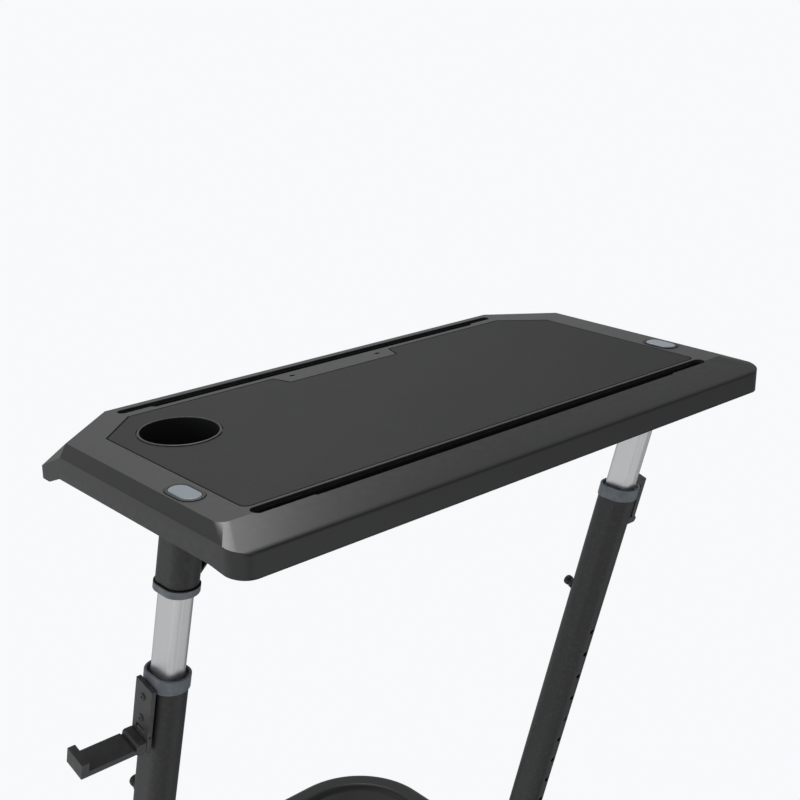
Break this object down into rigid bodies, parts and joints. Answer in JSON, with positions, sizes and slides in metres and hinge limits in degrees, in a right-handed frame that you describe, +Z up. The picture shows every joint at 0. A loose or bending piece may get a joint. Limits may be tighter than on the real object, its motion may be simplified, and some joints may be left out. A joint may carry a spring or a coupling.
{
  "type": "bike trainer desk",
  "caption": "Rolling desk on two telescoping oval legs and a horseshoe floor frame, with tablet slots, a cup well, release buttons and folding side hooks.",
  "frame": {"origin": "on the floor, under the middle of the desk's bounding box with the left hook lowered", "axes": "+Z up, +Y away from the rider, +X to the rider's right"},
  "size_m": [0.8764, 0.7796, 1.0492],
  "materials": {
    "housing": "fine moulded texture, satin",
    "mat": "fine grained non-slip sheet",
    "liner": "dark moulded plastic",
    "trim": "dark moulded plastic",
    "button": "light blue-grey, soft sheen",
    "silver": "clear anodised, fine drawn lines",
    "collar": "slate plastic, satin",
    "tube": "black powder coat",
    "hook": "black moulded plastic",
    "steel": "zinc plated",
    "tread": "soft black tread"
  },
  "bodies": {
    "base": {"base_frame": "tube", "base_end_cap_left": "trim", "leg_bolt_left": "steel", "lower_tube_left": "tube", "lower_collar_left": "collar", "hook_plate_left": "hook", "hook_pin_left": "steel", "hook_screw_left_1": "hook", "hook_screw_left_2": "hook", "base_end_cap_right": "trim", "leg_bolt_right": "steel", "lower_tube_right": "tube", "lower_collar_right": "collar", "hook_plate_right": "hook", "hook_pin_right": "steel", "hook_screw_right_1": "hook", "hook_screw_right_2": "hook"},
    "desktop": {"desktop_shell": "housing", "desk_mat": "mat", "cup_insert": "liner", "near_slot_tray": "liner", "far_slot_tray": "liner", "underside_pan": "liner", "button_bezel_left": "trim", "leg_bracket_left": "tube", "sleeve_left": "tube", "sleeve_collar_left": "collar", "inner_tube_left": "silver", "detent_plug_left": "trim", "lever_pin_left": "steel", "button_bezel_right": "trim", "leg_bracket_right": "tube", "sleeve_right": "tube", "sleeve_collar_right": "collar", "inner_tube_right": "silver", "detent_plug_right": "trim", "lever_pin_right": "steel"},
    "button_left": {"button_left": "button"},
    "push_rod_left": {"push_rod_left": "silver"},
    "detent_pin_left": {"detent_pin_left": "trim"},
    "clamp_lever_left": {"clamp_lever_left": "trim"},
    "pull_knob_left": {"pull_knob_left": "trim"},
    "hook_arm_left": {"hook_arm_left": "hook"},
    "button_right": {"button_right": "button"},
    "push_rod_right": {"push_rod_right": "silver"},
    "detent_pin_right": {"detent_pin_right": "trim"},
    "clamp_lever_right": {"clamp_lever_right": "trim"},
    "pull_knob_right": {"pull_knob_right": "trim"},
    "hook_arm_right": {"hook_arm_right": "hook"},
    "caster_near_left": {"caster_fork_near_left": "trim"},
    "wheel_near_left": {"caster_wheel_near_left": "tread"},
    "brake_pedal_near_left": {"brake_pedal_near_left": "collar"},
    "caster_near_right": {"caster_fork_near_right": "trim"},
    "wheel_near_right": {"caster_wheel_near_right": "tread"},
    "brake_pedal_near_right": {"brake_pedal_near_right": "collar"},
    "caster_far_left": {"caster_fork_far_left": "trim"},
    "wheel_far_left": {"caster_wheel_far_left": "tread"},
    "caster_far_right": {"caster_fork_far_right": "trim"},
    "wheel_far_right": {"caster_wheel_far_right": "tread"}
  },
  "joints": [
    {"name": "desk_height", "type": "slide", "parent": "base", "child": "desktop", "axis": [0, -0.2538, 0.9673], "range_m": [-0.086, 0.172]},
    {"name": "button_press_left", "type": "slide", "parent": "desktop", "child": "button_left", "axis": [0, 0, -1], "range_m": [0, 0.004], "stiffness_N_per_m": 700, "springref_m": -0.008},
    {"name": "push_rod_slide_left", "type": "slide", "parent": "desktop", "child": "push_rod_left", "axis": [0, 0.2538, -0.9673], "range_m": [0, 0.004]},
    {"name": "detent_slide_left", "type": "slide", "parent": "desktop", "child": "detent_pin_left", "axis": [0, 0.9673, 0.2538], "range_m": [0, 0.004]},
    {"name": "clamp_lever_left", "type": "hinge", "parent": "desktop", "child": "clamp_lever_left", "pos_m": [-0.3143, -0.23068, 0.98056], "axis": [1, 0, 0], "range_deg": [-30, 0]},
    {"name": "pull_knob_left", "type": "slide", "parent": "base", "child": "pull_knob_left", "axis": [0, 0.9673, 0.2538], "range_m": [0, 0.006], "stiffness_N_per_m": 800, "springref_m": -0.005},
    {"name": "hook_fold_left", "type": "hinge", "parent": "base", "child": "hook_arm_left", "pos_m": [-0.3596, -0.16585, 0.76495], "axis": [0, 0.9673, 0.2538], "range_deg": [0, 90]},
    {"name": "button_press_right", "type": "slide", "parent": "desktop", "child": "button_right", "axis": [0, 0, -1], "range_m": [0, 0.004], "stiffness_N_per_m": 700, "springref_m": -0.008},
    {"name": "push_rod_slide_right", "type": "slide", "parent": "desktop", "child": "push_rod_right", "axis": [0, 0.2538, -0.9673], "range_m": [0, 0.004]},
    {"name": "detent_slide_right", "type": "slide", "parent": "desktop", "child": "detent_pin_right", "axis": [0, 0.9673, 0.2538], "range_m": [0, 0.004]},
    {"name": "clamp_lever_right", "type": "hinge", "parent": "desktop", "child": "clamp_lever_right", "pos_m": [0.3719, -0.23068, 0.98056], "axis": [1, 0, 0], "range_deg": [-30, 0]},
    {"name": "pull_knob_right", "type": "slide", "parent": "base", "child": "pull_knob_right", "axis": [0, 0.9673, 0.2538], "range_m": [0, 0.006], "stiffness_N_per_m": 800, "springref_m": -0.005},
    {"name": "hook_fold_right", "type": "hinge", "parent": "base", "child": "hook_arm_right", "pos_m": [0.4172, -0.16585, 0.76495], "axis": [0, 0.9673, 0.2538], "range_deg": [0, 90]},
    {"name": "caster_swivel_near_left", "type": "hinge", "parent": "base", "child": "caster_near_left", "pos_m": [-0.3362, -0.32525, 0.058], "axis": [0, 0, 1], "continuous": true},
    {"name": "wheel_spin_near_left", "type": "hinge", "parent": "caster_near_left", "child": "wheel_near_left", "pos_m": [-0.3362, -0.34625, 0.025], "axis": [1, 0, 0], "continuous": true},
    {"name": "brake_pedal_near_left", "type": "hinge", "parent": "caster_near_left", "child": "brake_pedal_near_left", "pos_m": [-0.3362, -0.34625, 0.0395], "axis": [1, 0, 0], "range_deg": [0, 8]},
    {"name": "caster_swivel_near_right", "type": "hinge", "parent": "base", "child": "caster_near_right", "pos_m": [0.3938, -0.32525, 0.058], "axis": [0, 0, 1], "continuous": true},
    {"name": "wheel_spin_near_right", "type": "hinge", "parent": "caster_near_right", "child": "wheel_near_right", "pos_m": [0.3938, -0.34625, 0.025], "axis": [1, 0, 0], "continuous": true},
    {"name": "brake_pedal_near_right", "type": "hinge", "parent": "caster_near_right", "child": "brake_pedal_near_right", "pos_m": [0.3938, -0.34625, 0.0395], "axis": [1, 0, 0], "range_deg": [0, 8]},
    {"name": "caster_swivel_far_left", "type": "hinge", "parent": "base", "child": "caster_far_left", "pos_m": [-0.2332, 0.36975, 0.058], "axis": [0, 0, 1], "continuous": true},
    {"name": "wheel_spin_far_left", "type": "hinge", "parent": "caster_far_left", "child": "wheel_far_left", "pos_m": [-0.2332, 0.34875, 0.025], "axis": [1, 0, 0], "continuous": true},
    {"name": "caster_swivel_far_right", "type": "hinge", "parent": "base", "child": "caster_far_right", "pos_m": [0.2908, 0.36975, 0.058], "axis": [0, 0, 1], "continuous": true},
    {"name": "wheel_spin_far_right", "type": "hinge", "parent": "caster_far_right", "child": "wheel_far_right", "pos_m": [0.2908, 0.34875, 0.025], "axis": [1, 0, 0], "continuous": true}
  ],
  "couplings": [
    {"joint": "push_rod_slide_left", "follows": "button_press_left", "ratio": 1},
    {"joint": "detent_slide_left", "follows": "button_press_left", "ratio": 1},
    {"joint": "push_rod_slide_right", "follows": "button_press_right", "ratio": 1},
    {"joint": "detent_slide_right", "follows": "button_press_right", "ratio": 1}
  ]
}
